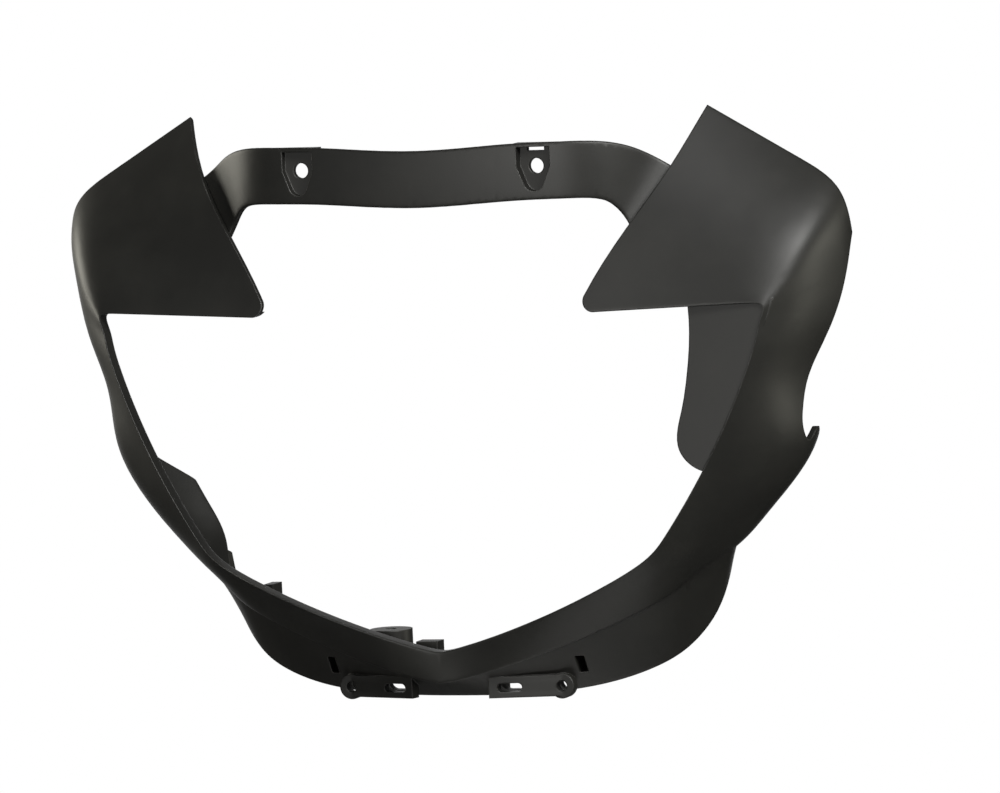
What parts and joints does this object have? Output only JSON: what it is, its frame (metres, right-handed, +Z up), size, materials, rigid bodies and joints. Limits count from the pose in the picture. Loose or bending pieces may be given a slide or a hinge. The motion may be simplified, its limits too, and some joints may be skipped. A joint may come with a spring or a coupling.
{
  "type": "motorcycle headlight housing",
  "caption": "Open moulded plastic cowl that frames a motorcycle headlamp, with raised brow wings, a screw bridge across the top, flared cheeks and a chin skirt with lower screw lugs.",
  "frame": {"origin": "midway between the front faces of the two upper screw seats", "axes": "+X to the viewer's right when looking at the front, +Y to the back along the screws, +Z up"},
  "size_m": [0.326, 0.0635, 0.2307],
  "materials": {
    "black_plastic": "fine grained, satin"
  },
  "bodies": {
    "root": {"headlight_housing": "black_plastic"}
  },
  "joints": []
}
